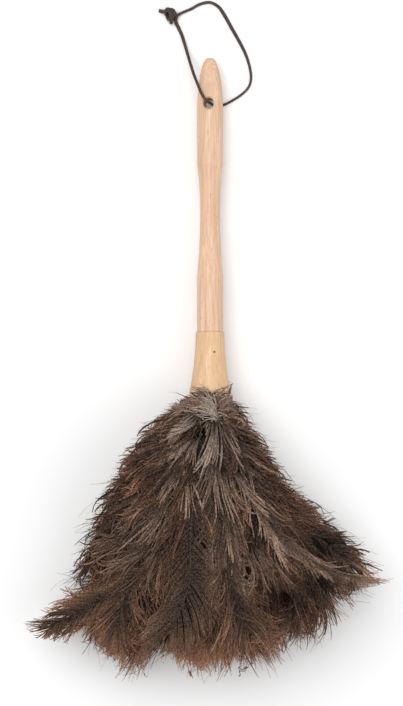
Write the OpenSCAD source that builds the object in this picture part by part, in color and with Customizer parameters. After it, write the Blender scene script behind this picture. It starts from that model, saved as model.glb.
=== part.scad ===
// Feather duster, laid flat: a turned handle with a leather hanging loop, a turned collar,
// and a head of plumes whose quills are bound in three rings round the handle's stem.
// +Y points to the butt of the handle, +Z is up, and z = 0 is the surface that it lies on.

/* [Handle] */
// Length of the handle from its butt to the collar
handle_len = 216; // [205:1:225]
// Radius of the grip
grip_r = 10.2; // [9.8:0.1:10.4]
// Radius of the waist between the grip and the shoulder
waist_r = 7.7; // [7.2:0.1:8.6]
// Radius at the shoulder that meets the collar
shoulder_r = 10.2; // [9.8:0.1:10.5]
// Length of the rounded butt
butt_len = 44; // [40:1:50]
// Distance of the hanging hole from the butt's end
hole_from_end = 36.7; // [36:0.1:38]
// Radius of the hanging hole
hole_r = 4.2; // [4.1:0.1:4.5]
// Turn of the hanging hole about the handle's axis, in degrees
hole_turn = 8; // [6:1:9]

/* [Collar] */
// Length of the collar
collar_len = 48; // [46:1:50]
// Radius of the collar where it meets the handle
collar_top_r = 11.3; // [11.1:0.1:11.8]
// Radius of the collar at its mouth
collar_mouth_r = 16.4; // [16.2:0.1:17.5]
// Depth of the socket that takes the handle's spigot
socket_depth = 22; // [20:1:23]
// Radius of the spigot and its socket
spigot_r = 6; // [5.5:0.1:6.5]
// Diameter of the brad that pins the collar to the spigot
brad_d = 1.2; // [1:0.1:1.6]

/* [Lie of the duster] */
// Height of the middle of the collar's mouth
mouth_h = 25.1; // [25:0.1:26.5]
// Slope of the handle, down towards its butt, in degrees
tilt = 3; // [2.9:0.05:3]
// Sideways place of the handle's axis
handle_x = 2; // [1.5:0.1:2.5]
// Distance of the collar's mouth from the middle of the duster's length
mouth_back = 15; // [14:1:16]

/* [Plumes] */
// Number of long plumes in the inner ring
inner_count = 12; // [8:1:12]
// Number of plumes in the middle ring
middle_count = 14; // [10:1:17]
// Number of short plumes in the outer ring
outer_count = 20; // [14:1:23]
// Length of the head of plumes from the collar's mouth
head_len = 235; // [225:1:240]
// Radius of a quill
quill_r = 1.1; // [0.8:0.05:1.1]
// Share of its place in the ring that a plume fills
fullness = 0.84; // [0.6:0.02:0.88]

/* [Loop] */
// Diameter of the leather lace
lace_d = 2.4; // [2:0.1:2.6]

/* [Hidden] */
// The stem that the quills stand round, and the thread between the rings.
stem_r = 3.4;
thread = 0.4;
gap = 0.05;
inner_ring_r = stem_r + 2 * gap + quill_r;
middle_ring_r = inner_ring_r + 2 * quill_r + thread + 3 * gap;
outer_ring_r = middle_ring_r + 2 * quill_r + thread + 3 * gap;
spigot_gap = 0.2;
collar_wall = 2.2;

// A tier of plumes: name, number, quill ring radius, quill depth, length, middle of its shell,
// half the shell's thickness, how far the shell moves out near the tips, where that starts.
INNER = ["inner_plume", inner_count, inner_ring_r, 24, head_len, 0.27, 0.13, 0.34, 175];
MIDDLE = ["middle_plume", middle_count, middle_ring_r, 20, head_len * 0.83, 0.58, 0.12, 0.26, 145];
OUTER = ["outer_plume", outer_count, outer_ring_r, 15, head_len * 0.6, 0.87, 0.12, 0, 200];
TIERS = [INNER, MIDDLE, OUTER];

// The head's outline: distance from the collar's mouth, and the reach to each side and upwards.
mouth_reach = 12;
RIGHT = [[0, mouth_reach], [15, 28], [30, 44], [50, 58], [80, 82], [110, 114], [136, 168], [160, 150],
    [190, 128], [235, 110]];
LEFT = [[0, mouth_reach], [15, 33], [30, 55], [50, 73], [80, 89], [110, 104], [145, 124], [170, 165],
    [190, 208.4], [235, 156]];
UP = [[0, mouth_reach], [20, 38], [50, 66], [90, 84], [130, 82], [170, 66], [205, 48], [235, 34]];
spread_start = 45;
floor_start = 35;
flat_base = 0.6;
sides = 8;
stations = 12;

// The loop's route, point by point, from the middle of the hole, out over the grip to the knot,
// round the loop and back under the grip to the hole.
LACE = [
    [2.5, 212.9, 12.8], [2.2, 212.8, 17.1], [1.6, 212.7, 20.8], [0.4, 213.2, 24.1], [-2.3, 215.6, 25.4],
    [-5.2, 220.8, 24], [-7.8, 227.5, 20.7], [-10.6, 235, 16], [-13.2, 243.5, 10.8], [-15.6, 252, 6],
    [-18, 260.5, 2.8], [-20.4, 268, 1.4], [-22.9, 273.4, 1.4], [-25, 278, 2.2], [-24.9, 281.6, 2.4],
    [-22.3, 284, 1.6], [-18.6, 285.9, 1.2], [-12.6, 288.4, 1.2], [-6, 292, 1.2], [1.8, 293.4, 1.2],
    [8.6, 290, 1.2], [13.6, 283, 1.2], [19.4, 272.6, 1.2], [25.4, 262, 1.2], [30, 252.8, 1.2],
    [33, 243.6, 1.2], [34.4, 234.4, 1.2], [32.6, 226.8, 1.2], [26.8, 220.6, 1.2], [19.4, 215.8, 1.2],
    [13.2, 212.6, 1.2], [8.4, 212, 1.2], [4.9, 212.1, 1.9], [3.3, 212.6, 4.6], [2.8, 212.8, 8.5],
    [2.5, 212.9, 12.8]
];
lace_steps = 2;

// The knot's middle and half its size each way, the tail to the side and the short one.
KNOT_AT = [-29.2, 282.4, 4.4];
KNOT_HALF = [4.8, 6.2, 4.4];
LONG_TAIL = [[-31, 285, 4], [-34, 286.4, 2.8], [-36.6, 287, 1.8], [-39, 286.9, 1.4]];
SHORT_TAIL = [[-29.6, 280, 3.6], [-29, 277, 2.6], [-28.7, 274.6, 1.8]];

function plume_name(tier, i) = str(tier[0], "_", i < 9 ? "0" : "", i + 1);

// Smooth step from 0 to 1.
function ease(t) = t <= 0 ? 0 : t >= 1 ? 1 : t * t * (3 - 2 * t);
function mix(a, b, t) = a + (b - a) * t;

// Puts a piece drawn along +Z, with the collar's mouth at 0 and the butt upwards, on the handle's axis.
module on_axis() {
    translate([handle_x, -mouth_back, mouth_h]) rotate([-90 - tilt, 0, 0]) children();
}

// Radius of the handle at a distance d from its butt. The grip and the shoulder are straight, and the
// hollow between them is cut with a soft corner at each end.
nub_r = 1.5;
grip_end = 84;
waist_at = 121;
swell_end = 172;
function butt_r(d) = nub_r + (grip_r - nub_r) * sqrt(1 - pow(1 - d / butt_len, 2));
function handle_r(d) =
    d < butt_len ? butt_r(d)
    : d < grip_end ? grip_r
    : d < waist_at ? mix(waist_r, grip_r, pow((waist_at - d) / (waist_at - grip_end), 2))
    : mix(waist_r, shoulder_r, pow((d - waist_at) / (swell_end - waist_at), 2));

module handle_blank() {
    top = collar_len + handle_len;
    edge = 0.5;
    outline = concat(
        [[0, 3], [stem_r - edge, 3], [stem_r, 3 + edge]],
        [[stem_r, collar_len - socket_depth + spigot_gap], [spigot_r, collar_len - socket_depth + spigot_gap]],
        [[spigot_r, collar_len], [shoulder_r - edge, collar_len], [shoulder_r, collar_len + edge]],
        [for (k = [0:12]) let (d = mix(swell_end, waist_at, k / 12)) [handle_r(d), top - d]],
        [for (k = [1:10]) let (d = mix(waist_at, grip_end, k / 10)) [handle_r(d), top - d]],
        [for (a = [0:6:90]) [butt_r(butt_len * (1 - sin(a))), top - butt_len * (1 - sin(a))]],
        [[0, top]]
    );
    rotate_extrude($fn = 96) polygon(outline);
}

module handle() {
    hole_z = collar_len + handle_len - hole_from_end;
    chamfer = 0.5;
    rim = handle_r(hole_from_end) - 1.5;
    color("burlywood")
    on_axis() difference() {
        handle_blank();
        translate([0, 0, hole_z]) rotate([90, 0, -hole_turn]) {
            cylinder(r = hole_r, h = 4 * grip_r, center = true, $fn = 48);
            for (side = [0, 180])
                rotate([side, 0, 0]) translate([0, 0, rim])
                    cylinder(r1 = hole_r, r2 = hole_r + 4 * chamfer, h = 4 * chamfer, $fn = 48);
        }
        brad_shank();
    }
}

// Outer radius of the collar at a height h above its mouth.
function collar_r(h) = mix(collar_top_r, collar_mouth_r, pow(1 - h / collar_len, 2));

module collar() {
    edge = 0.6;
    cup = collar_len - socket_depth;
    outside = concat(
        [[collar_mouth_r - edge, 0]],
        [for (k = [0:16]) let (h = mix(edge, collar_len - edge, k / 16)) [collar_r(h), h]],
        [[collar_top_r - edge, collar_len]]
    );
    inside = [
        [spigot_r, collar_len], [spigot_r, cup], [inner_ring_r + 5, cup], [middle_ring_r + 3.2, cup * 0.7],
        [outer_ring_r + 1.9, cup * 0.55], [outer_ring_r + 3.2, cup * 0.2], [collar_mouth_r - collar_wall, 0]
    ];
    color("wheat")
    on_axis() difference() {
        rotate_extrude($fn = 96) polygon(concat(outside, inside));
        brad_shank();
    }
}

// The brad stands a little to the right of the collar's crown.
brad_h = 32;
brad_turn = 16;
brad_depth = 4;
module brad_shank() {
    translate([0, 0, brad_h]) rotate([90, 0, brad_turn]) translate([0, 0, brad_depth])
        cylinder(d = brad_d, h = 2 * grip_r, $fn = 24);
}

module collar_brad() {
    shank_r = brad_d / 2;
    head_at = collar_r(brad_h) + 0.1;
    color("dimgray")
    on_axis() translate([0, 0, brad_h]) rotate([90, 0, brad_turn]) rotate_extrude($fn = 24) polygon([
        [0, brad_depth], [shank_r, brad_depth], [shank_r, head_at], [shank_r + 0.3, head_at],
        [shank_r + 0.1, head_at + 0.3], [0, head_at + 0.3]
    ]);
}

// A band of waxed thread wound round the outside of one ring of quills.
module binding(ring_r, top) {
    inner = ring_r + quill_r + gap;
    band = 9;
    edge = 0.12;
    color("khaki")
    on_axis() translate([0, 0, top - band]) rotate_extrude($fn = 72) polygon([
        [inner, 0], [inner + thread - edge, 0], [inner + thread, edge],
        [inner + thread, band - edge], [inner + thread - edge, band], [inner, band]
    ]);
}

// A point of the head: s along the axis from the mouth, rho from the middle (0) to the outline (1),
// and the angle round the axis from the right-hand side, counter-clockwise as seen from the tips' far end.
function depth(s) = mix(mouth_reach, (mouth_h + s * sin(tilt)) / cos(tilt), ease(s / floor_start));
function reach_side(s, a) = lookup(s, cos(a) > 0 ? RIGHT : LEFT);
function head_point(s, rho, a) =
    let (
        u = reach_side(s, a) * rho * cos(a),
        below = mix(1, flat_base, ease(s / floor_start)),
        rise = sin(a) > 0 ? lookup(s, UP) * sin(a) : -depth(s) * pow(-sin(a), below),
        v = rise * rho
    )
    [handle_x + u, -mouth_back - s * cos(tilt) + v * sin(tilt), mouth_h + s * sin(tilt) + v * cos(tilt)];

// Sweeps rings of points into one closed solid.
module swept(rings) {
    n = len(rings[0]);
    last = len(rings) - 1;
    walls = [
        for (i = [0:last - 1]) for (j = [0:n - 1])
            let (a = i * n + j, b = i * n + (j + 1) % n)
            each [[a, b, b + n], [a, b + n, a + n]]
    ];
    ends = [[for (j = [n - 1:-1:0]) j], [for (j = [0:n - 1]) last * n + j]];
    polyhedron(points = [for (ring = rings) each ring], faces = concat(walls, ends), convexity = 6);
}

// The lengths within a tier differ by up to a tenth, in an order that looks random.
function plume_len(tier, i) = tier[4] * (0.95 + 0.05 * sin(i * 137.5));

// One ring of a plume: a round quill inside the collar that widens into the plume's own cell.
function plume_ring(tier, i, s, tip) =
    let (
        pitch = 360 / tier[1],
        open = ease(s / spread_start),
        scale_at = lookup(s, UP),
        quill_rho = tier[2] / mouth_reach,
        move = tier[7] * ease((s - tier[8]) / (head_len - tier[8])),
        rho = mix(quill_rho, tier[5], open) + move,
        half_rho = mix(quill_r / scale_at, tier[6] * (1 + move), open) * tip,
        half_a = mix(quill_r / (scale_at * rho) * 180 / PI, fullness * pitch / 2, open) * tip
    )
    [for (k = [0:sides - 1])
        let (phi = -360 * k / sides)
        head_point(s, rho + half_rho * cos(phi), (i + 0.5) * pitch + half_a * sin(phi))];

module plume(tier, i) {
    length = plume_len(tier, i);
    quill = [-tier[3], -tier[3] / 2];
    vane = [for (k = [0:stations]) length * pow(k / stations, 1.4)];
    color("#4b3c32")
    swept([
        for (s = concat(quill, vane))
            let (t = max(0, s) / length)
            plume_ring(tier, i, s, 0.1 + 0.9 * sqrt(1 - pow(t, 4)))
    ]);
}

// A smooth curve through points: the place a fraction t of the way from point i to the next.
function curve_at(p, i, t) =
    let (a = p[max(i - 1, 0)], b = p[i], c = p[i + 1], d = p[min(i + 2, len(p) - 1)])
    0.5 * (2 * b + (c - a) * t + (2 * a - 5 * b + 4 * c - d) * t * t + (3 * b - a - 3 * c + d) * t * t * t);
function curve(p, steps) = concat(
    [for (i = [0:len(p) - 2]) for (k = [0:steps - 1]) curve_at(p, i, k / steps)],
    [p[len(p) - 1]]
);
function unit(v) = v / norm(v);

// A tube along a line. Each ring stands across the line, with one side kept level.
module tube(line, d) {
    last = len(line) - 1;
    swept([
        for (i = [0:last])
            let (
                ahead = unit(line[min(i + 1, last)] - line[max(i - 1, 0)]),
                level = unit(cross(ahead, abs(ahead.z) > 0.8 ? [0, 1, 0] : [0, 0, 1])),
                upright = cross(level, ahead)
            )
            [for (k = [0:sides - 1])
                let (phi = 360 * (k + 0.5) / sides)
                line[i] + d / 2 * (level * cos(phi) + upright * sin(phi))]
    ]);
}

module lace() {
    color("saddlebrown") tube(curve(LACE, lace_steps), lace_d);
}

module knot() {
    color("saddlebrown") {
        translate(KNOT_AT) scale(KNOT_HALF) sphere(r = 1, $fn = 24);
        tube(curve(LONG_TAIL, 2), lace_d);
        tube(curve(SHORT_TAIL, 2), lace_d);
    }
}

handle();
collar();
collar_brad();
binding(inner_ring_r, 22);  // binding_inner
binding(middle_ring_r, 17);  // binding_middle
binding(outer_ring_r, 12);  // binding_outer
lace();
knot();
for (tier = TIERS)
    for (i = [0:tier[1] - 1])
        plume(tier, i);
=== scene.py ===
"""The looks of the feather duster: wood, leather lace and knot, and every plume barb by barb.

The frame gives the handle, the collar, the brad and the thread bindings, which keep their shapes and get
their finishes here. Each plume's node gives the line and the spread of the feather that stands for it.
Lengths are in metres. +Y points to the butt of the handle and +Z is up, as in the frame.
"""

import math

import bpy
import numpy as np
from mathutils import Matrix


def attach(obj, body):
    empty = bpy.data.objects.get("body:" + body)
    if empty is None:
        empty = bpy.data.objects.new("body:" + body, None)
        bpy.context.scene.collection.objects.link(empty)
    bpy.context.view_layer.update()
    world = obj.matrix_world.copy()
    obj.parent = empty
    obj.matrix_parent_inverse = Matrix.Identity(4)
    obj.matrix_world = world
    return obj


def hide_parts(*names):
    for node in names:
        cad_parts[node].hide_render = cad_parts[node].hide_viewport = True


MM = 0.001
SEED = 20
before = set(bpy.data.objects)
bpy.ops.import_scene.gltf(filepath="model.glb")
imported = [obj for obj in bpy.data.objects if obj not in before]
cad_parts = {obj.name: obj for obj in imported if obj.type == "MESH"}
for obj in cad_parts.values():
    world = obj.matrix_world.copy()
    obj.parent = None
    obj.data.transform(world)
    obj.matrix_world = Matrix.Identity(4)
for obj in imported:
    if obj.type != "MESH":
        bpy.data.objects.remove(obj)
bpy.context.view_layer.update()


# ---------------------------------------------------------------- camera, lights and floor

CAMERA_HEIGHT = 2.6
VIEW_LENGTH = 0.5577
VIEW_CENTRE = (-0.0047, 0.0166)
SENSOR = 36.0


def add_camera():
    """A long lens straight above the duster, with the handle's butt at the top of the picture."""
    data = bpy.data.cameras.new("camera")
    data.sensor_width = SENSOR
    data.lens = SENSOR * CAMERA_HEIGHT / VIEW_LENGTH
    data.clip_start, data.clip_end = 0.1, 20.0
    camera = bpy.data.objects.new("camera", data)
    camera.location = (*VIEW_CENTRE, CAMERA_HEIGHT)
    bpy.context.scene.collection.objects.link(camera)
    bpy.context.scene.camera = camera


def add_area(name, place, size, power):
    """A square soft light at place that shines at the middle of the floor."""
    data = bpy.data.lights.new(name, "AREA")
    data.size = size
    data.energy = power
    light = bpy.data.objects.new(name, data)
    light.location = place
    direction = -np.array(place, float)
    pitch = math.atan2(math.hypot(direction[0], direction[1]), -direction[2])
    turn = math.atan2(direction[1], direction[0]) - math.pi / 2
    light.rotation_euler = (pitch, 0, turn)
    bpy.context.scene.collection.objects.link(light)


def add_world(brightness):
    """White light from all round."""
    world = bpy.data.worlds.new("studio")
    bpy.context.scene.world = world
    world.use_nodes = True
    background = world.node_tree.nodes["Background"]
    background.inputs["Color"].default_value = (1.0, 1.0, 1.0, 1.0)
    background.inputs["Strength"].default_value = brightness


add_camera()


# ---------------------------------------------------------------- materials


def linear(red, green, blue):
    """An sRGB colour of 0 to 255 as a linear RGBA one."""
    parts = [c / 255 for c in (red, green, blue)]
    return tuple(c / 12.92 if c <= 0.04045 else ((c + 0.055) / 1.055) ** 2.4 for c in parts) + (1.0,)


class Nodes:
    """A material's node tree, with a short call for each kind of node that this script uses."""

    def __init__(self, name, roughness, specular=0.4):
        self.material = bpy.data.materials.new(name)
        self.material.use_nodes = True
        self.tree = self.material.node_tree
        self.shader = self.tree.nodes["Principled BSDF"]
        self.shader.inputs["Roughness"].default_value = roughness
        self.shader.inputs["Specular IOR Level"].default_value = specular

    def link(self, output, socket):
        self.tree.links.new(output, socket)

    def coordinates(self, stretch):
        """The piece's own coordinates, with each axis multiplied by stretch."""
        place = self.tree.nodes.new("ShaderNodeTexCoord")
        mapping = self.tree.nodes.new("ShaderNodeMapping")
        mapping.inputs["Scale"].default_value = stretch
        self.link(place.outputs["Object"], mapping.inputs["Vector"])
        return mapping.outputs["Vector"]

    def noise(self, vector, scale, detail=3.0, distortion=0.0):
        """Cloudy noise of 0 to 1, with scale cells in a metre."""
        node = self.tree.nodes.new("ShaderNodeTexNoise")
        node.inputs["Scale"].default_value = scale
        node.inputs["Detail"].default_value = detail
        node.inputs["Distortion"].default_value = distortion
        self.link(vector, node.inputs["Vector"])
        return node.outputs["Fac"]

    def wave(self, vector, scale):
        """Even bands across Y."""
        node = self.tree.nodes.new("ShaderNodeTexWave")
        node.bands_direction = "Y"
        node.inputs["Scale"].default_value = scale
        self.link(vector, node.inputs["Vector"])
        return node.outputs["Fac"]

    def spread(self, value, low, high, to_low=0.0, to_high=1.0):
        """Maps low..high to to_low..to_high and stops at both ends."""
        node = self.tree.nodes.new("ShaderNodeMapRange")
        for name, number in (("From Min", low), ("From Max", high), ("To Min", to_low), ("To Max", to_high)):
            node.inputs[name].default_value = number
        self.link(value, node.inputs["Value"])
        return node.outputs["Result"]

    def mix(self, share, first, second):
        """Mixes two colours. share is a number or an output, and each colour is a value or an output."""
        node = self.tree.nodes.new("ShaderNodeMix")
        node.data_type = "RGBA"
        colours = [s for s in node.inputs if s.type == "RGBA"]
        for value, socket in ((share, node.inputs["Factor"]), (first, colours[0]), (second, colours[1])):
            if isinstance(value, bpy.types.NodeSocket):
                self.link(value, socket)
            else:
                socket.default_value = value
        return next(s for s in node.outputs if s.type == "RGBA")

    def bump(self, height, strength, distance):
        """Fine relief that only the light sees."""
        node = self.tree.nodes.new("ShaderNodeBump")
        node.inputs["Strength"].default_value = strength
        node.inputs["Distance"].default_value = distance
        self.link(height, node.inputs["Height"])
        self.link(node.outputs["Normal"], self.shader.inputs["Normal"])


def wood(name, light, dark, fleck, fleck_share):
    """Turned wood with its grain along the handle: long fine streaks, broad bands and short dark flecks."""
    n = Nodes(name, 0.5, 0.35)
    grain = n.noise(n.coordinates((1, 0.018, 1)), 900, 4, 0.3)
    bands = n.noise(n.coordinates((1, 0.05, 1)), 130, 2, 1.2)
    flecks = n.noise(n.coordinates((1, 0.16, 1)), 1500, 2)
    colour = n.mix(n.spread(bands, 0.35, 0.65), light, dark)
    streaks = n.mix(n.spread(grain, 0.3, 0.7, 0, 0.7), colour, n.mix(0.45, dark, fleck))
    flecked = n.mix(n.spread(flecks, 0.66, 0.74, 0, fleck_share), streaks, fleck)
    n.link(flecked, n.shader.inputs["Base Color"])
    n.link(n.spread(grain, 0.3, 0.7, 0.42, 0.6), n.shader.inputs["Roughness"])
    n.bump(grain, 0.25, 0.15 * MM)
    return n.material


def leather(name):
    """Dark waxed leather with a fine lengthwise grain and worn, lighter patches."""
    n = Nodes(name, 0.5, 0.4)
    worn = n.noise(n.coordinates((1, 1, 1)), 260, 3)
    grain = n.noise(n.coordinates((1, 1, 1)), 1800, 3)
    colour = n.mix(n.spread(worn, 0.35, 0.68), linear(36, 24, 21), linear(74, 55, 50))
    colour = n.mix(n.spread(grain, 0.45, 0.75, 0, 0.5), colour, linear(98, 79, 72))
    n.link(colour, n.shader.inputs["Base Color"])
    n.link(n.spread(worn, 0.3, 0.7, 0.4, 0.62), n.shader.inputs["Roughness"])
    n.bump(grain, 0.5, 0.2 * MM)
    return n.material


def steel(name):
    """A small brad head, browned with age."""
    n = Nodes(name, 0.4)
    n.shader.inputs["Metallic"].default_value = 0.4
    specks = n.noise(n.coordinates((1, 1, 1)), 2500, 3)
    n.link(n.mix(specks, linear(104, 74, 52), linear(158, 118, 86)), n.shader.inputs["Base Color"])
    return n.material


def thread(name):
    """Waxed linen thread, wound turn beside turn across the handle's axis."""
    n = Nodes(name, 0.6, 0.3)
    turns = n.wave(n.coordinates((1, 1, 1)), 350)
    fibres = n.noise(n.coordinates((1, 1, 1)), 2500, 3)
    colour = n.mix(n.spread(fibres, 0.3, 0.7), linear(196, 176, 134), linear(226, 209, 170))
    # Darker in the grooves between the turns: painted shade.
    wound = n.mix(n.spread(turns, 0, 0.5, 0.6, 0), colour, linear(120, 100, 70))
    n.link(wound, n.shader.inputs["Base Color"])
    n.bump(turns, 0.6, 0.3 * MM)
    return n.material


def feather(name):
    """Ostrich down. Each barb's colour is in the attribute "tone", and a fine noise breaks it up."""
    n = Nodes(name, 0.75, 0.03)
    tone = n.tree.nodes.new("ShaderNodeAttribute")
    tone.attribute_name = "tone"
    down = n.noise(n.coordinates((1, 1, 1)), 900, 3)
    dim = n.mix(0.68, tone.outputs["Color"], (0.008, 0.005, 0.004, 1.0))
    bright = n.mix(0.14, tone.outputs["Color"], linear(210, 182, 162))
    n.link(n.mix(n.spread(down, 0.36, 0.64), dim, bright), n.shader.inputs["Base Color"])
    return n.material


def plain(name, colour):
    """A material of one flat colour."""
    material = bpy.data.materials.new(name)
    material.use_nodes = True
    material.node_tree.nodes["Principled BSDF"].inputs["Base Color"].default_value = colour
    material.diffuse_color = colour
    return material


def finish_cad_node(node, material):
    """Gives a CAD node a finish through its object's material slots."""
    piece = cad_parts[node]
    for s in piece.material_slots:
        s.link = "OBJECT"
        s.material = material


BEECH = wood("beech", linear(239, 207, 178), linear(224, 184, 152), linear(152, 106, 80), 0.8)
PALE_WOOD = wood("pale_wood", linear(234, 200, 162), linear(219, 181, 140), linear(178, 134, 96), 0.5)
LEATHER = leather("lace_leather")
FEATHER = feather("plume")
PLAIN_FEATHER = plain("plume_plain", linear(72, 56, 46))
PLAIN_LEATHER = plain("leather_plain", linear(62, 46, 41))
finish_cad_node("handle", BEECH)
finish_cad_node("collar", PALE_WOOD)
finish_cad_node("collar_brad", steel("brad_steel"))
THREAD = thread("waxed_thread")
for binding in ("binding_inner", "binding_middle", "binding_outer"):
    finish_cad_node(binding, THREAD)


# ---------------------------------------------------------------- meshes made of tubes


def unit(vectors):
    """The vectors with a length of 1."""
    return vectors / np.maximum(np.linalg.norm(vectors, axis=-1, keepdims=True), 1e-12)


def smooth(points, steps):
    """A Catmull-Rom curve through the points, with steps places from each point to the next."""
    p = np.array(points, float)
    first, last = p[:1], p[-1:]
    padded = np.concatenate([first, p, last])
    t = (np.arange(steps) / steps)[None, :, None]
    a, b, c, d = (padded[i : i + len(p) - 1, None, :] for i in range(4))
    curve = 0.5 * (
        2 * b + (c - a) * t + (2 * a - 5 * b + 4 * c - d) * t**2 + (3 * b - a - 3 * c + d) * t**3
    )
    return np.concatenate([curve.reshape(-1, p.shape[1]), last])


def tubes(paths, radii, sides, flatness):
    """Closed tubes. paths is (n, k, 3) and radii (n, k). Returns points, quads and end caps.

    flatness is a tube's thickness as a share of its width.
    """
    n, k, _ = paths.shape
    ahead = unit(np.gradient(paths, axis=1))
    level = np.cross(ahead, [0.0, 0.0, 1.0])
    steep = np.linalg.norm(level, axis=-1, keepdims=True) < 0.3
    level = unit(np.where(steep, np.cross(ahead, [1.0, 0.0, 0.0]), level))
    upright = np.cross(level, ahead)
    angle = 2 * np.pi * np.arange(sides) / sides
    across, up = np.cos(angle)[:, None], flatness * np.sin(angle)[:, None]
    ring = level[:, :, None, :] * across + upright[:, :, None, :] * up
    points = (paths[:, :, None, :] + ring * radii[:, :, None, None]).reshape(-1, 3)
    index = np.arange(n * k * sides).reshape(n, k, sides)
    turned = np.roll(index, -1, axis=2)
    quads = np.stack([index[:, :-1], turned[:, :-1], turned[:, 1:], index[:, 1:]], axis=-1).reshape(-1, 4)
    caps = np.concatenate([index[:, 0, ::-1], index[:, -1]])
    return points, quads, caps


class Parts:
    """Gathers tubes with their colours, then makes them one mesh object."""

    # The most red that a colour may have. A brighter one is dimmed as a whole, so that it keeps its hue.
    BRIGHTEST = 0.95

    def __init__(self):
        self.points, self.colours, self.corners, self.counts, self.total = [], [], [], [], 0

    def add(self, paths, radii, sides, colours=None, flatness=1.0, edge=1.0, core=1.0):
        """Adds tubes. edge and core multiply the colour at a flat tube's two edges and along its middle.

        A piece whose material doesn't read the colours needs none.
        """
        points, quads, caps = tubes(paths, radii, sides, flatness)
        if colours is None:
            colours = np.zeros(paths.shape)
        level = core + (edge - core) * abs(np.cos(2 * np.pi * np.arange(sides) / sides))
        self.points.append(points)
        shown = (colours[:, :, None] * level[:, None]).reshape(-1, 3)
        self.colours.append(shown * np.minimum(1, self.BRIGHTEST / np.maximum(shown[:, :1], 1e-6)))
        for faces in (quads, caps):
            self.corners.append(faces.ravel() + self.total)
            self.counts.append(np.full(len(faces), faces.shape[1]))
        self.total += len(points)

    def build(self, name, mesh_material, object_material):
        """Makes the object, with a plain material on its mesh and the finished one on the object."""
        mesh = bpy.data.meshes.new(name)
        points = np.concatenate(self.points)
        corners, counts = np.concatenate(self.corners), np.concatenate(self.counts)
        mesh.vertices.add(len(points))
        mesh.vertices.foreach_set("co", points.astype(np.float32).ravel())
        mesh.loops.add(len(corners))
        mesh.loops.foreach_set("vertex_index", corners.astype(np.int32))
        mesh.polygons.add(len(counts))
        starts = np.concatenate([[0], np.cumsum(counts)[:-1]])
        mesh.polygons.foreach_set("loop_start", starts.astype(np.int32))
        mesh.polygons.foreach_set("use_smooth", np.ones(len(counts), bool))
        mesh.update(calc_edges=True)
        tone = mesh.color_attributes.new("tone", "FLOAT_COLOR", "POINT")
        colours = np.concatenate(self.colours)
        rgba = np.concatenate([colours, np.ones((len(colours), 1))], axis=1)
        tone.data.foreach_set("color", rgba.astype(np.float32).ravel())
        mesh.materials.append(mesh_material)
        piece = bpy.data.objects.new(name, mesh)
        bpy.context.scene.collection.objects.link(piece)
        piece.material_slots[0].link = "OBJECT"
        piece.material_slots[0].material = object_material
        return piece


# ---------------------------------------------------------------- the hanging loop

LACE_D = 2.4 * MM
LACE_STEPS = 8
KNOT_STEPS = 6
KNOT_SIDES = 14
# The leather was cut by hand, so it is stouter in places: shares of the route's length and of the thickness.
LACE_GIRTH = [
    (0, 0.9), (0.15, 0.95), (0.28, 1.05), (0.36, 1.25), (0.4, 1.1), (0.45, 0.92), (0.55, 1.0), (0.6, 1.2),
    (0.66, 1.08), (0.71, 0.92), (0.77, 0.78), (0.86, 0.8), (1, 0.85),
]

# The route of the lace, as in the CAD source: from the middle of the hole, out over the grip to the knot,
# round the loop and back under the grip to the hole. In millimetres.
LACE_ROUTE = [
    (2.5, 212.9, 12.8), (2.2, 212.8, 17.1), (1.6, 212.7, 20.8), (0.4, 213.2, 24.1), (-2.3, 215.6, 25.4),
    (-5.2, 220.8, 24), (-7.8, 227.5, 20.7), (-10.6, 235, 16), (-13.2, 243.5, 10.8), (-15.6, 252, 6),
    (-18, 260.5, 2.8), (-20.4, 268, 1.4), (-22.9, 273.4, 1.4), (-25, 278, 2.2), (-24.9, 281.6, 2.4),
    (-22.3, 284, 1.6), (-18.6, 285.9, 1.2), (-12.6, 288.4, 1.2), (-6, 292, 1.2), (1.8, 293.4, 1.2),
    (8.6, 290, 1.2), (13.6, 283, 1.2), (19.4, 272.6, 1.2), (25.4, 262, 1.2), (30, 252.8, 1.2),
    (33, 243.6, 1.2), (34.4, 234.4, 1.2), (32.6, 226.8, 1.2), (26.8, 220.6, 1.2), (19.4, 215.8, 1.2),
    (13.2, 212.6, 1.2), (8.4, 212, 1.2), (4.9, 212.1, 1.9), (3.3, 212.6, 4.6), (2.8, 212.8, 8.5),
    (2.5, 212.9, 12.8),
]

# The knot's two strands, each ending in one of the tails. In millimetres.
KNOT_OVER = [
    (-24.6, 280.6, 3), (-25.4, 283.6, 5.4), (-27.2, 286.6, 5.8), (-29, 287.2, 3.4), (-30.6, 284.6, 1.8),
    (-31.4, 281.6, 3), (-30.2, 279.6, 5.6), (-28, 280.8, 8), (-27.4, 284.2, 7.4), (-29.4, 287, 5.2),
    (-31.8, 287.6, 5), (-33.2, 285.8, 3.4), (-34.6, 286, 2.4), (-38.2, 286.8, 1.6),
]
KNOT_UNDER = [
    (-24.4, 282.8, 2), (-26, 281.2, 2), (-28.8, 280.4, 2.2), (-31.8, 283, 2.8), (-33, 285, 5),
    (-31.8, 286.6, 7.4), (-29.8, 285.4, 9), (-28.6, 282, 9), (-28.6, 279, 6.4), (-28.7, 277.2, 3.4),
]
# The strands' thickness in the knot as a share of the lace's, and how much it varies along them.
KNOT_GIRTH = 1.25
KNOT_UNEVENNESS = 0.05


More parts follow.
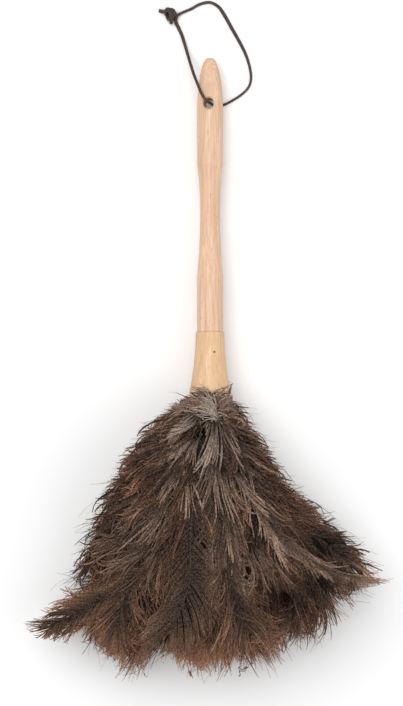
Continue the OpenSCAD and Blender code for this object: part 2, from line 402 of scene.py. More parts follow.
def add_lace():
    """The lace is one open curve, and the knot with its two tails is the piece that goes with it."""
    data = bpy.data.curves.new("leather_lace", "CURVE")
    data.dimensions = "3D"
    data.bevel_depth = LACE_D / 2
    data.bevel_resolution = 4
    data.use_fill_caps = True
    line = smooth(LACE_ROUTE, LACE_STEPS) * MM
    girth = np.interp(np.linspace(0, 1, len(line)), *np.array(LACE_GIRTH, float).T)
    line[:, 2] = np.maximum(line[:, 2], girth * LACE_D / 2)
    spline = data.splines.new("POLY")
    spline.points.add(len(line) - 1)
    for point, place, radius in zip(spline.points, line, girth):
        point.co = (*place, 1.0)
        point.radius = radius
    data.materials.append(LEATHER)
    lace = bpy.data.objects.new("leather_lace", data)
    bpy.context.scene.collection.objects.link(lace)
    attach(lace, "loop")
    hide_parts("lace")
    return lace


def add_knot():
    """The overhand knot: two strands that cross over each other, each with its tail."""
    parts = Parts()
    for route in (KNOT_OVER, KNOT_UNDER):
        line = smooth(route, KNOT_STEPS)[None] * MM
        wave = np.sin(1.3 * np.arange(line.shape[1]))
        radius = LACE_D / 2 * KNOT_GIRTH * (1 + KNOT_UNEVENNESS * wave)
        parts.add(line, radius[None], KNOT_SIDES)
    knot = parts.build("overhand_knot", PLAIN_LEATHER, LEATHER)
    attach(knot, "loop")
    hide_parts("knot")
    return knot


lace = add_lace()
knot = add_knot()


# ---------------------------------------------------------------- the plumes

# The handle's axis, from the middle of the collar's mouth towards the tips.
MOUTH = np.array([0.002, -0.015, 0.0251])
TILT = math.radians(3)
AXIS = np.array([0.0, -math.cos(TILT), math.sin(TILT)])
RIGHTWARDS = np.array([1.0, 0.0, 0.0])
UPWARDS = np.array([0.0, math.sin(TILT), math.cos(TILT)])
COLLAR_R = 16.4 * MM
COLLAR_GAP = 1.2 * MM
FLOOR_GAP = 0.5 * MM

# How far the down reaches to each side, at distances from the collar's mouth. In millimetres.
LEFT_EDGE = [
    (-25, 12), (0, 9), (8, 17), (15, 23), (21, 31), (28, 38), (40, 47), (53, 57), (66, 66), (85, 74),
    (103, 86), (122, 94), (135, 100), (148, 106), (160, 113), (167, 124), (180, 138), (190, 130), (198, 98),
    (206, 86), (218, 76), (240, 50),
]
RIGHT_EDGE = [
    (-25, 11), (0, 10), (9, 12), (15, 15), (21, 17), (28, 21), (34, 29), (47, 34), (59, 40), (66, 46),
    (78, 56), (91, 74), (103, 87), (116, 103), (129, 120), (141, 137), (148, 132), (154, 112), (160, 103),
    (173, 92), (186, 86), (198, 82), (205, 58), (215, 38), (240, 20),
]
# How far the down reaches along the axis, at distances across it. In millimetres.
END_EDGE = [
    (-150, 186), (-130, 191), (-112, 190), (-100, 179), (-90, 184), (-82, 198), (-70, 210), (-52, 207),
    (-44, 192), (-33, 188), (-24, 200), (-8, 209), (8, 207), (22, 198), (40, 199), (52, 199), (66, 192),
    (80, 186), (92, 188), (100, 176), (150, 150),
]
# Places where the upper plumes part and the dark inside shows: middle across and along the axis, and
# half the size each way. In millimetres.
HOLLOWS = [(-6, 32, 4, 7), (24, 36, 5, 4), (86, 118, 12, 8), (86, 147, 11, 6), (56, 159, 10, 6)]
# Painted light and shade on the down: painted shade where it lies deep between the upper plumes,
# and painted highlights where it stands out from them, some of which also stand for its own paler colour.
# The middle across and along the axis, half the size each way in millimetres, and the share of light.
PAINTED_SHADE_AND_HIGHLIGHTS = [
    (-6, 36, 9, 14, 0.35), (23, 37, 8, 8, 0.45), (3, 12, 16, 9, 0.6), (16, 56, 12, 14, 0.9),
    (-17, 80, 8, 26, 0.75), (-52, 61, 8, 8, 0.5), (-38, 64, 9, 14, 1.35), (-65, 118, 32, 8, 0.65),
    (-80, 147, 16, 6, 0.65), (-25, 130, 20, 24, 0.8), (34, 104, 10, 16, 0.3), (90, 118, 24, 15, 0.15),
    (84, 147, 23, 12, 0.15), (62, 160, 25, 13, 0.18), (-28, 166, 26, 15, 0.75), (0, 206, 36, 15, 2.5),
    (-72, 188, 28, 16, 1.8), (-112, 178, 22, 12, 1.6), (38, 188, 24, 12, 1.7), (122, 141, 18, 8, 1.7),
    (-10, 70, 60, 46, 0.7), (-36, 34, 16, 14, 1.35), (-66, 80, 14, 22, 1.25),
]
# The height of the head's upper surface above the axis, at distances from the collar's mouth.
TOP_EDGE = [
    (-25, 18), (0, 18), (6, 24), (20, 36), (50, 61), (80, 74), (110, 77), (130, 74), (150, 63), (190, 44),
    (240, 28),
]

# Loose tufts on the head's upper side, by plume: place across and along, heading from the tips' direction
# towards +X, its spread, how far the strands bend, their length, their number, share of grey and brightness.
# In millimetres and degrees.
TUFTS = {
    "outer_plume_05": [
        (8, 16, 140, 28, -60, 21, 26, 1.0, 1.7),
        (5, 24, -2, 18, 4, 40, 28, 0.8, 1.05),
        (9, 21, 40, 16, 6, 46, 30, 0.6, 1.3),
        (12, 17, 63, 16, 10, 30, 26, 0.6, 0.9),
        (4, 56, 4, 14, -4, 38, 28, 0.45, 0.85),
        (16, 60, 22, 14, 6, 36, 28, 0.4, 1.0),
    ],
    "outer_plume_06": [
        (6, 20, 196, 34, 66, 33, 44, 1.0, 1.9),
        (-8, 21, -50, 20, -15, 34, 28, 0.85, 1.55),
        (-12, 37, -38, 18, -10, 34, 28, 0.5, 1.1),
    ],
    "outer_plume_07": [
        (-28, 29, -66, 14, -8, 32, 28, 0.35, 0.9),
        (-34, 50, -50, 18, -14, 34, 30, 0.35, 1.35),
        (-24, 62, -22, 16, -10, 34, 30, 0.4, 1.2),
    ],
    "outer_plume_08": [
        (-52, 78, -60, 16, -14, 34, 30, 0.3, 0.95),
        (-36, 88, -32, 14, -10, 36, 30, 0.4, 1.0),
        (-68, 112, -58, 16, -12, 34, 30, 0.2, 0.85),
        (-46, 120, -36, 16, -10, 34, 30, 0.25, 0.85),
    ],
    "outer_plume_04": [(34, 54, 42, 14, 8, 34, 30, 0.4, 0.9)],
    "middle_plume_02": [
        (12, 92, 8, 14, 6, 36, 26, 0.3, 0.7),
        (31, 124, 20, 14, 10, 26, 24, 0.4, 1.3),
    ],
}
TUFT_THICKNESS = 1.3
# How light the strands of tufts and vanes are at these shares of their length. The dark roots are partly
# painted shade where the strands meet the down beneath them.
STRAND_PLACES = (0, 0.35, 0.7, 1)
TUFT_RISE = (0.08, 0.6, 1.0, 1.4)
VANE_RISE = (0.02, 0.28, 0.75, 1.75)
# Feathers that lie open on top, by plume: the rachis' route across and along, then the barbs' length, their
# angle to the rachis, number, thickness, share of grey, brightness and disorder. In millimetres and degrees.
VANES = {
    "middle_plume_04": {
        "route": [(-12, 66), (-13, 85), (-15, 115), (-15.5, 145), (-22, 165), (-31, 183)],
        "length": 40, "angle": 50, "count": 560, "thick": 0.8, "grey": 0.15, "level": 0.8, "disorder": 0.3,
    },
    "outer_plume_06": {
        "route": [(3, 58), (6, 85), (10, 110), (15, 134)],
        "length": 33, "angle": 22, "count": 280, "thick": 1.2, "grey": 0.4, "level": 0.85, "disorder": 1.3,
    },
    "middle_plume_03": {
        "route": [(22, 58), (31, 80), (44, 101), (64, 121), (88, 136), (108, 142)],
        "length": 44, "angle": 6, "count": 230, "thick": 0.9, "grey": 0.4, "level": 2.3, "disorder": 0.6,
    },
    "middle_plume_06": {
        "route": [(-46, 136), (-78, 156), (-104, 171), (-126, 182)],
        "length": 32, "angle": 34, "count": 280, "thick": 0.8, "grey": 0.0, "level": 1.35, "disorder": 1.0,
    },
    "outer_plume_08": {
        "route": [(-20, 46), (-38, 74), (-54, 104)],
        "length": 36, "angle": 30, "count": 240, "thick": 1.1, "grey": 0.35, "level": 0.75, "disorder": 1.4,
    },
    "middle_plume_02": {
        "route": [(10, 135), (20, 160), (27, 180)],
        "length": 40, "angle": 34, "count": 220, "thick": 0.95, "grey": 0.1, "level": 1.1, "disorder": 1.3,
    },
    "middle_plume_05": {
        "route": [(-48, 116), (-64, 155), (-72, 180)],
        "length": 42, "angle": 34, "count": 260, "thick": 0.9, "grey": 0.05, "level": 1.1, "disorder": 1.3,
    },
}

UMBER = np.array(linear(20, 13, 10)[:3])
BROWN = np.array(linear(92, 58, 43)[:3])
TAN = np.array(linear(174, 124, 95)[:3])
GREY = np.array(linear(192, 162, 141)[:3])
ASH = np.array(linear(206, 188, 174)[:3])
RACHIS = np.array(linear(34, 25, 22)[:3])


def spine(node):
    """A plume's middle line, with its sideways and outward directions at each ring of the CAD node."""
    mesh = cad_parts[node].data
    points = np.zeros(len(mesh.vertices) * 3, np.float32)
    mesh.vertices.foreach_get("co", points)
    points = np.unique(points.reshape(-1, 3).round(6), axis=0).astype(float)
    along = (points - MOUTH) @ AXIS
    rings = [points[abs(along - s) < 0.2 * MM] for s in np.unique(along.round(4))]
    line = np.array([ring.mean(axis=0) for ring in rings])
    outward = line - MOUTH - np.outer((line - MOUTH) @ AXIS, AXIS)
    return line, unit(np.cross(AXIS, outward)), unit(outward)


def pick(values, t):
    """The values of a line at shares t of its length."""
    spot = t * (len(values) - 1)
    whole = np.minimum(spot.astype(int), len(values) - 2)
    share = (spot - whole)[:, None]
    return values[whole] * (1 - share) + values[whole + 1] * share


def table(rows, places):
    """Looks places up in a table of millimetres. Both are in metres."""
    return np.interp(places / MM, *np.array(rows, float).T) * MM


def fullness(across, along, slack, parted):
    """How far out a place lies: 1 on the head's outline, and more inside a hollow if the plume is parted.

    A barb with more slack reaches further, both past the outline and into a hollow.
    """
    side = np.where(across < 0, table(LEFT_EDGE, along), table(RIGHT_EDGE, along)) + slack
    full = np.maximum(abs(across) / side, along / (table(END_EDGE, across) + slack))
    for x, y, half_x, half_y in HOLLOWS if parted else ():
        into = ((across / MM - x) / half_x) ** 2 + ((along / MM - y) / half_y) ** 2
        full = np.maximum(full, 2 - into * (1.4 + 150 * slack))
    return full


def on_top(across, along, lift):
    """Places on the head's upper surface, raised by lift."""
    side = np.where(across < 0, table(LEFT_EDGE, along), table(RIGHT_EDGE, along))
    height = table(TOP_EDGE, along) * np.sqrt(np.maximum(1 - (across / side) ** 2, 0.02)) + lift
    return MOUTH + across[..., None] * RIGHTWARDS + along[..., None] * AXIS + height[..., None] * UPWARDS


def painted_light_at(points):
    """The share of painted light and shade at places on the head."""
    rel = points - MOUTH
    across, along = rel[..., 0] / MM, rel @ AXIS / MM
    light = np.ones(across.shape)
    for x, y, half_x, half_y, share in PAINTED_SHADE_AND_HIGHLIGHTS:
        into = ((across - x) / half_x) ** 2 + ((along - y) / half_y) ** 2
        light = light * (1 + (share - 1) * np.exp(-(into**1.5)))
    return light


def walk(start, steps):
    """The places that each row reaches from its start, step by step."""
    return start + np.concatenate([np.zeros((len(steps), 1)), np.cumsum(steps, axis=1)], axis=1)


def tip_curl(u):
    """How much of its curl a strand has at shares u of its length."""
    return np.clip(1.8 * u - 0.8, 0, 1) ** 1.3


# A barb is flat. Its colour is lighter along its two edges, a painted highlight, and darker along its
# middle, painted shade.
BARB_SIDES = 4
BARB_FLATNESS = 0.55
BARB_EDGE_HIGHLIGHT = 1.8
BARB_CORE_SHADE = 0.32
RACHIS_SIDES = 6


def add_flat(parts, paths, radii, colours):
    """Adds barbs to a plume's parts."""
    parts.add(paths, radii, BARB_SIDES, colours, BARB_FLATNESS, BARB_EDGE_HIGHLIGHT, BARB_CORE_SHADE)


class Plume:
    """One feather: its rachis, and the barbs that stand on both sides of it."""

    # Pieces of a barb, and the share of its length at the middle of each one.
    SEGMENTS = 8
    MIDDLES = ((np.arange(SEGMENTS) + 0.5) / SEGMENTS)[None, :]
    # Places along the rachis, and steps between two rings of the CAD node and two points of a vane's route.
    PLACES = 160
    SPINE_STEPS = 8
    VANE_STEPS = 12
    # How far the line wanders to the sides, how low it may lie, and how near the outline it may come.
    WANDER = 4 * MM
    LOWEST = 2 * MM
    NEAREST = 0.85
    # Where the barbs start past the collar's mouth, and the length of rachis that a lock of them takes.
    VANE_START = 4 * MM
    LOCK = 4.5 * MM
    # Strands in a lock of a tuft, and locks along one side of an open vane.
    TUFT_LOCK = 5
    VANE_LOCKS = 14
    # How high the strands of tufts and vanes lie above the head's surface, in millimetres.
    TUFT_LIFT = 6.5
    VANE_LIFT = 5.5

    def __init__(self, node, seed, look):
        self.look = look
        self.rng = np.random.default_rng(seed)
        line, side, out = spine(node)
        fine = smooth(line, self.SPINE_STEPS)
        length = np.concatenate([[0], np.cumsum(np.linalg.norm(np.diff(fine, axis=0), axis=1))])
        even = np.linspace(0, length[-1], self.PLACES)
        self.line = np.stack([np.interp(even, length, fine[:, i]) for i in range(3)], axis=1)
        t = np.interp(even, length[:: self.SPINE_STEPS], np.linspace(0, 1, len(line)))
        self.side, self.out = unit(pick(side, t)), unit(pick(out, t))
        self.total = length[-1]
        self.past = (self.line - MOUTH) @ AXIS
        foot = self.line[self.PLACES // 8] - MOUTH
        self.lean, self.height = unit(foot - (foot @ AXIS) * AXIS)[[0, 2]]
        self.parted = self.height > 0 and not node.startswith("inner")
        self.reach_out = 2.5 * self.rng.normal()
        self.sway()
        self.lay_flat()

    def sway(self):
        """Lets the line wander a little, and bends, lifts and draws it in as the plume's look says."""
        free = np.clip(self.past / self.past.max(), 0, 1)[:, None]
        phase = self.rng.uniform(0, 2 * np.pi)
        self.line = self.line + self.side * np.sin(3.5 * free + phase) * self.WANDER * free
        drawn_in = 1 - self.look["tuck"] * free[:, 0] ** 0.3
        self.line[:, 0] = MOUTH[0] + (self.line[:, 0] - MOUTH[0]) * drawn_in
        self.line[:, 0] += self.look["bend"] * MM * free[:, 0] ** 2
        self.line[:, 2] += self.look["rise"] * MM * np.sin(np.pi * free[:, 0] ** 0.8)
        self.line[:, 2] = np.maximum(self.line[:, 2], self.LOWEST)
        across = self.line[:, 0] - MOUTH[0]
        full = fullness(across, (self.line - MOUTH) @ AXIS, 0.0, False)
        self.line[:, 0] = MOUTH[0] + across * np.minimum(1, self.NEAREST / np.maximum(full, 0.1))

    def lay_flat(self):
        """Turns the vane towards the level, as the plumes lie over each other like shingles."""
        foot = np.exp(-np.maximum(self.past, 0) / (30 * MM))[:, None]
        self.along = unit(unit(np.gradient(self.line, axis=0)) + self.look["flow"] * foot * AXIS)
        upright = np.where(self.out[:, 2:] > -0.15, 1.0, -1.0) * np.array([0.0, 0.0, 1.0])
        self.out = unit(self.out + self.look["flat"] * upright)
        self.side = unit(np.cross(self.along, self.out))
        self.out = np.cross(self.side, self.along)

    def barbs(self, count, length, thick, side_angle, lift, droop, curl, fan, end, beyond=0.0):
        """Barbs along the vane. Neighbours form locks, which share most of their bend.

        The columns of the chance numbers stand for length, angle, curl, brightness, rise and greyness.
        """
        rng, m, calm = self.rng, self.SEGMENTS, self.look["calm"]
        start = np.interp(self.VANE_START, self.past, np.linspace(0, 1, self.PLACES))
        share = np.sort(rng.uniform(0, 1, count)) ** 0.9
        t = start + (end - start) * share
        sign = np.where(rng.uniform(size=count) < 0.5, -1.0, 1.0)
        lock = (t * self.total / self.LOCK).astype(int) * 2 + (sign > 0)
        of_lock = rng.normal(size=(lock.max() + 1, 6))[lock]
        own = rng.normal(size=(count, 6))
        blend = (0.8 * of_lock + 0.4 * own) * calm
        base = pick(self.line, t)
        ahead, side, out = (unit(pick(v, t)) for v in (self.along, self.side, self.out))
        reach = length * self.look["length"] * np.interp(share, [0, 0.25, 0.75, 1], [0.55, 1, 1, 0.85])
        reach = reach * np.clip(1 + 0.25 * blend[:, 0], 0.45, 1.6)
        wide = np.interp(share, [0, 0.7, 1], [side_angle + 10, side_angle, side_angle * 0.45])
        narrow = 0.5 + 0.5 * abs(self.lean) if self.height > 0 else 1.0
        wide = np.radians((wide + 10 * blend[:, 1]) * self.look["spread"] * narrow)
        u = self.MIDDLES
        turn = wide[:, None] - np.radians(fan) * u**0.8
        turn = turn + np.radians(curl) * blend[:, 2:3] * np.clip((u - 0.5) / 0.5, 0, 1) ** 1.5
        turn = turn + 0.18 * calm * np.sin(5 * u + 3 * of_lock[:, 3:4])
        turn = turn + 0.07 * np.sin(13 * u + 5 * own[:, 3:4])
        rise = (lift + 0.28 * blend[:, 4])[:, None] * (1 - 1.3 * u)
        heading = (
            ahead[:, None] * np.cos(turn)[..., None]
            + (side * sign[:, None])[:, None] * np.sin(turn)[..., None]
            + out[:, None] * rise[..., None]
        )
        heading[..., 2] -= droop * u**1.3 * (1 + 0.25 * own[:, 5:6])
        steps = unit(heading) * (reach / m)[:, None, None]
        path = np.concatenate([base[:, None], base[:, None] + np.cumsum(steps, axis=1)], axis=1)
        slack = 20 * rng.uniform(size=(count, 1)) ** 3 - 6 + 2.5 * of_lock[:, 1:2] + self.reach_out + beyond
        path = self.clear(path, slack * MM)
        radius = thick / 2 * np.interp(np.arange(m + 1) / m, [0, 0.6, 1], [1, 0.9, 0.4])
        stout = np.where(rng.uniform(size=(count, 1)) < 0.35, rng.uniform(1.1, 1.5, (count, 1)), 0.75)
        radius = radius[None] * rng.uniform(0.72, 1.25, (count, m + 1)) * stout
        return path, radius, share, blend

    def clear(self, path, slack):
        """Ends each barb where it leaves the head's outline.

        Keeps it above the floor and off the collar, too.
        """
        rel = path - MOUTH
        along, across = rel @ AXIS, rel[..., 0]
        full = fullness(across, along, slack, False)
        inwards = np.where(full[:, :1] > 0.9, 0.9 / full[:, :1] - 1, 0) * across[:, :1]
        path[..., 0] += inwards
        full = fullness(across + inwards, along, slack, self.parted)
        last = path.shape[1] - 1
        gone = full > 1
        gone[:, 0] = False
        first = np.where(gone.any(axis=1), gone.argmax(axis=1), last)
        row = np.arange(len(path))
        before, after = full[row, first - 1], full[row, first]
        share = np.clip((1 - before) / np.maximum(after - before, 1e-6), 0, 1)
        end = np.where(gone.any(axis=1), first - 1 + share, last)
        spot = np.maximum(end, 0.3)[:, None] * np.linspace(0, 1, last + 1)
        whole = np.minimum(spot.astype(int), last - 1)
        share = (spot - whole)[..., None]
        path = path[row[:, None], whole] * (1 - share) + path[row[:, None], whole + 1] * share
        path[..., 2] = np.maximum(path[..., 2], FLOOR_GAP)
        rel = path - MOUTH
        along = rel @ AXIS
        from_axis = rel - along[..., None] * AXIS
        far = np.maximum(np.linalg.norm(from_axis, axis=-1), 1e-6)
        kept_off = COLLAR_R + COLLAR_GAP
        push = np.where((along < 1 * MM) & (far < kept_off), kept_off / far, 1)
        return MOUTH + along[..., None] * AXIS + from_axis * push[..., None]

    def colour(self, count, share, blend, tip):
        """Each barb's colour from its root to its tip. tip is the share of pale tan or grey at its end."""
        u = np.linspace(0, 1, self.SEGMENTS + 1)[None, :, None]
        grey = 0.55 * np.exp(-share / 0.2) + self.look["grey"] + 0.16 * blend[:, 5]
        grey = np.clip(grey, 0, 1)[:, None, None]
        body = BROWN * (1 - grey) + GREY * 0.75 * grey
        end = (TAN * (1 - grey) + GREY * grey) * 1.25 * tip + body * (1 - tip)
        # Umber at the root, partly painted shade where the roots lie deep in the head.
        path = UMBER + (body - UMBER) * np.clip(u / 0.45, 0, 1) ** 1.3
        path = path + (end - body) * np.clip((u - 0.5) / 0.5, 0, 1)
        level = self.look["level"] * np.exp(0.7 * blend[:, 3] + 0.45 * self.rng.normal(size=count))
        beads = self.rng.uniform(0.7, 1.3, (count, self.SEGMENTS + 1, 1))
        return path * level[:, None, None] * beads

    def add_barbs(self, parts, count, tip, **shape):
        """The plume's barbs: painted shade deep in the head, painted highlights where they stand out."""
        path, radius, share, blend = self.barbs(count, **shape)
        colours = self.colour(count, share, blend, tip) * painted_light_at(path)[..., None]
        add_flat(parts, path, radius, colours)

    def add_rachis(self, parts, end):
        """The plume's own rachis, up to a share of its length."""
        line = self.line[: int(end * self.PLACES) : 3][None]
        share = np.linspace(0, 1, line.shape[1])
        radius = (1.05 - 0.75 * share) * MM
        colours = np.tile(RACHIS * self.look["level"], (1, line.shape[1], 1))
        parts.add(line, radius[None], RACHIS_SIDES, colours)

    def add_ruff(self, parts, count):
        """Pale down at the foot of the vane.

        It springs back over the collar's rim and falls to the sides.
        """
        rng, m = self.rng, self.SEGMENTS
        places = rng.uniform(6, 20, count) * MM
        base = pick(self.line, np.interp(places, self.past, np.linspace(0, 1, self.PLACES)))
        sign = np.where(rng.uniform(-1, 1, count) < 1.6 * self.lean, 1.0, -1.0)
        start = 12 + 22 * abs(rng.normal(size=count)) + 50 * abs(self.lean)
        end = start + rng.uniform(30, 110, count) * (1.15 - abs(self.lean))
        u = self.MIDDLES
        turn = np.radians(start[:, None] + (end - start)[:, None] * u)
        turn = turn + 0.12 * np.sin(9 * u + rng.uniform(0, 6, (count, 1)))
        rise = self.height * (0.5 + 0.2 * rng.normal(size=(count, 1))) * (1 - 2 * u)
        heading = (
            -AXIS * np.cos(turn)[..., None]
            + RIGHTWARDS * (sign[:, None] * np.sin(turn))[..., None]
            + UPWARDS * rise[..., None]
        )
        reach = rng.uniform(13, 32, count)[:, None, None] * MM * (1 - 0.35 * abs(self.lean))
        path = base[:, None] + np.cumsum(unit(heading) * reach / m, axis=1)
        slack = rng.uniform(0, 7, (count, 1)) * MM
        path = self.clear(np.concatenate([base[:, None], path], axis=1), slack)
        radius = 0.55 * MM * np.interp(np.arange(m + 1) / m, [0, 0.5, 1], [1, 0.9, 0.35])
        radius = radius * rng.uniform(0.75, 1.25, (count, m + 1)) * rng.choice([0.5, 1, 1.2], (count, 1))
        level = np.exp(0.5 * rng.normal(size=count))[:, None, None]
        mixed = GREY * 0.75 + BROWN * 0.25
        # Umber at the root, partly painted shade where the down meets the collar's mouth.
        colours = UMBER + (mixed - UMBER) * np.clip(np.linspace(0.1, 2.6, m + 1), 0, 1)[None, :, None]
        add_flat(parts, path, radius, colours * level)

    def strands(self, parts, across, along, lift, thick, grey, glow, rise):
        """Adds strands that lie on the head, from their places across and along and their lift above it.

        rise is how light they are at STRAND_PLACES, and glow how bright each one is as a whole.
        """
        count, places = across.shape
        free = np.linspace(0, 1, places)
        slack = self.rng.uniform(-4, 8, (count, 1)) * MM
        path = self.clear(on_top(across, along, lift), slack)
        radius = thick / 2 * MM * np.interp(free, [0, 0.6, 1], [0.8, 1, 0.45])
        radius = radius * self.rng.uniform(0.8, 1.2, (count, places))
        radius = radius * self.rng.choice([0.6, 1, 1.15], (count, 1))
        mixed = TAN * 0.6 * (1 - grey) + ASH * 0.7 * grey
        light = np.interp(free, STRAND_PLACES, rise)
        colours = UMBER + (mixed - UMBER) * light[None, :, None]
        beads = self.rng.uniform(0.75, 1.25, (count, places, 1))
        colours = colours * glow[:, None, None] * beads
        add_flat(parts, path, radius, colours)

    def add_tuft(self, parts, across, along, heading, fan, bend, length, count, grey, level):
        """Stout loose strands that keep together in locks of about five.

        The columns of the chance numbers stand for heading, bend, curl, length and lift.
        """
        rng, m = self.rng, self.SEGMENTS
        locks = count // self.TUFT_LOCK
        of_lock = rng.normal(size=(locks, 5))[rng.integers(locks, size=count)]
        own = rng.normal(size=(count, 5))
        both = 0.8 * of_lock + 0.5 * own
        u = self.MIDDLES
        turn = heading + fan * both[:, :1] + bend * u * (1 + 0.3 * both[:, 1:2])
        turn = turn + 50 * both[:, 2:3] * tip_curl(u)
        turn = np.radians(turn) + 0.15 * np.sin(7 * u + 3 * of_lock[:, 3:4])
        step = length * MM * np.clip(1 + 0.32 * both[:, 3:4], 0.4, 1.7) / m
        foot = 3 * MM * of_lock[:, :2] + 1.4 * MM * own[:, :2]
        across = walk(across * MM + foot[:, :1], step * np.sin(turn))
        along = walk(along * MM + foot[:, 1:], step * np.cos(turn))
        free = np.linspace(0, 1, m + 1)
        arch = np.sin(np.pi * np.clip(free, 0, 0.85) ** 0.7)
        lift = (self.TUFT_LIFT + 1.5 * both[:, 4:]) * MM * arch + 1 * MM
        glow = level * np.exp(0.4 * both[:, 1])
        self.strands(parts, across, along, lift, TUFT_THICKNESS, grey, glow, TUFT_RISE)

    def add_vane(self, parts, route, length, angle, count, thick, grey, level, disorder):
        """A feather that lies open on top of the head: its rachis, with combed barbs on both sides.

        The columns of the chance numbers stand for angle, brightness, curl, length and lift.
        """
        rng, m = self.rng, self.SEGMENTS
        line = smooth(route, self.VANE_STEPS) * MM
        ahead = np.gradient(line, axis=0)
        bearing = np.unwrap(np.arctan2(ahead[:, 0], ahead[:, 1]))
        share = np.sort(rng.uniform(0, 1, count))
        sign = np.where(rng.uniform(size=count) < 0.5, -1.0, 1.0)
        lock = (share * self.VANE_LOCKS).astype(int) * 2 + (sign > 0)
        of_lock = rng.normal(size=(lock.max() + 1, 5))[lock]
        own = rng.normal(size=(count, 5))
        both = disorder * (0.75 * of_lock + 0.55 * own)
        base = pick(line, share)
        heading = pick(bearing[:, None], share)
        u = self.MIDDLES
        wide = angle * np.interp(share, [0, 0.75, 1], [1, 0.9, 0.3])[:, None] + 8 * both[:, :1]
        turn = np.radians(wide * (1 - 0.45 * u) + 45 * both[:, 2:3] * tip_curl(u))
        turn = heading + sign[:, None] * turn + 0.06 * np.sin(7 * u + 3 * both[:, 3:4])
        step = length * MM * np.clip(1 + 0.2 * both[:, 3:4], 0.6, 1.5) / m
        step = step * np.interp(share, [0, 0.2, 1], [0.7, 1, 0.9])[:, None]
        across = walk(base[:, :1], step * np.sin(turn))
        along = walk(base[:, 1:], step * np.cos(turn))
        free = np.linspace(0, 1, m + 1)
        lift = (self.VANE_LIFT + both[:, 4:]) * MM * (1 - 0.5 * free)
        glow = level * np.exp(0.35 * both[:, 1])
        self.strands(parts, across, along, lift, thick, grey, glow, VANE_RISE)
        rachis = on_top(line[None, :, 0], line[None, :, 1], (6.7 - 4 * disorder) * MM)
        radius = np.linspace(0.95, 0.35, len(line))[None] * MM
        parts.add(rachis, radius, RACHIS_SIDES, np.tile(RACHIS, (1, len(line), 1)))


# What sets one plume apart: how far its line bends to the right and rises towards the tip, in millimetres,
# its share of grey, its brightness, how much chance the barbs have, their length, how far the line is drawn
# to the middle, how much the foot's barbs follow the axis, how level the vane lies and how wide it opens.
LOOK = {
    "bend": 0.0,
    "rise": 0.0,
    "grey": 0.0,
    "level": 1.0,
    "calm": 1.0,
    "length": 1.0,
    "tuck": 0.12,
    "flow": 1.2,
    "flat": 1.1,
    "spread": 1.0,
}
LOOKS = {
    "middle_plume_04": {
        "bend": -34, "rise": 22, "level": 0.7, "calm": 0.25, "length": 1.3, "flow": 0.2, "flat": 2.0,
    },
    # Dimmed partly as painted shade for the dark places beside its pale vane.
    "middle_plume_03": {
        "bend": 66, "rise": 13, "level": 0.6, "grey": 0.1, "calm": 0.5, "spread": 0.45, "length": 1.4,
    },
    "outer_plume_05": {"length": 0.75, "level": 1.1},
    "outer_plume_06": {"length": 0.75, "level": 1.1},
    "middle_plume_02": {"level": 0.55},
    "inner_plume_02": {"level": 0.6},
    "outer_plume_03": {"level": 0.8},
}

# The barbs of each ring of plumes. level is their brightness, and end the share of the plume's length where
# they stop.
TIERS = {
    "inner": {
        "count": 1000,
        "length": 56 * MM,
        "thick": 0.66 * MM,
        "side_angle": 58,
        "lift": 0.1,
        "droop": 0.4,
        "curl": 40,
        "fan": 22,
        "end": 0.86,
        "tip": 0.9,
        "level": 1.15,
    },
    "middle": {
        "count": 720,
        "length": 46 * MM,
        "thick": 1.12 * MM,
        "side_angle": 62,
        "lift": 0.25,
        "droop": 0.4,
        "curl": 60,
        "fan": 22,
        "end": 0.9,
        "tip": 0.7,
        "level": 0.8,
    },
    "outer": {
        "count": 600,
        "length": 38 * MM,
        "thick": 1.3 * MM,
        "side_angle": 64,
        "lift": 0.4,
        "droop": 0.5,
        "curl": 85,
        "fan": 24,
        "end": 0.92,
        "tip": 0.45,
        "level": 0.64,
    },
}
# Barbs that fill the middle of the head, inwards from the inner plumes.
HEART = {
    "count": 150,
    "length": 60 * MM,
    "side_angle": 26,
    "lift": -0.75,
    "droop": 0.05,
    "end": 0.95,
    "tip": 0.7,
}
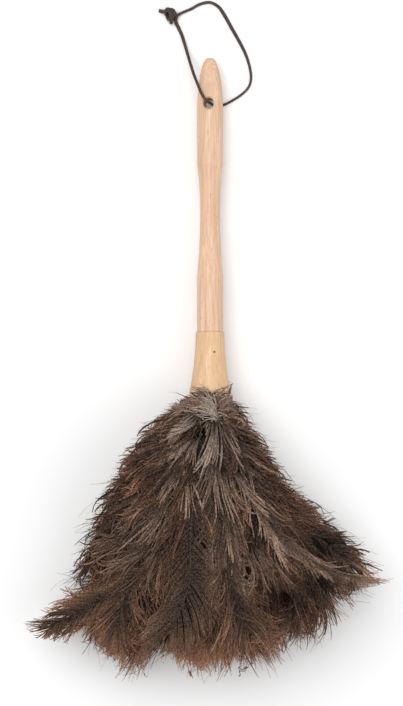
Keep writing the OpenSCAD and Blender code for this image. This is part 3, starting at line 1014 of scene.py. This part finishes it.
# Fine long barbs that stand out past the outline. Their length is a share of the other barbs'.
WISPS = {"count": 110, "thick": 0.34 * MM, "curl": 30, "fan": 4, "beyond": 6}
WISP_LENGTH = 1.45
RUFF_COUNT = 60
LOOK_SEED = 500


def add_plume(node, seed):
    """One plume with everything that belongs to it, as one piece that stands for its CAD node."""
    tier = TIERS[node.split("_")[0]]
    look = {**LOOK, **LOOKS.get(node, {})}
    chance = np.random.default_rng(seed + LOOK_SEED)
    look["level"] *= tier["level"] * math.exp(0.16 * chance.normal())
    look["grey"] += 0.12 * chance.normal()
    plume = Plume(node, seed, look)
    parts = Parts()
    plume.add_rachis(parts, tier["end"])
    shape = {name: value for name, value in tier.items() if name != "level"}
    plume.add_barbs(parts, **shape)
    plume.add_barbs(parts, **{**shape, **WISPS, "length": WISP_LENGTH * tier["length"]})
    if node.startswith("inner"):
        plume.add_barbs(parts, **{**shape, **HEART})
    if node.startswith("outer"):
        plume.add_ruff(parts, RUFF_COUNT)
    for tuft in TUFTS.get(node, []):
        plume.add_tuft(parts, *tuft)
    if node in VANES:
        plume.add_vane(parts, **VANES[node])
    piece = parts.build(node + "_down", PLAIN_FEATHER, FEATHER)
    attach(piece, "duster")
    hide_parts(node)


for number, node in enumerate(sorted(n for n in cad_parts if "_plume_" in n)):
    add_plume(node, SEED + number)


# ---------------------------------------------------------------- studio

FLOOR_SIZE = 6.0


def add_floor():
    """A plain pale floor."""
    corner = FLOOR_SIZE / 2
    mesh = bpy.data.meshes.new("floor")
    corners = [(-corner, -corner, 0), (corner, -corner, 0), (corner, corner, 0), (-corner, corner, 0)]
    mesh.from_pydata(corners, [], [(0, 1, 2, 3)])
    mesh.materials.append(plain("floor", (0.92, 0.92, 0.92, 1.0)))
    floor = bpy.data.objects.new("floor", mesh)
    bpy.context.scene.collection.objects.link(floor)


add_floor()
add_world(0.5)
add_area("key", place=(-0.5, 0.65, 2.0), size=1.9, power=34)
add_area("fill", place=(1.2, -0.6, 1.6), size=1.6, power=10)
bpy.context.scene.view_settings.view_transform = "Standard"
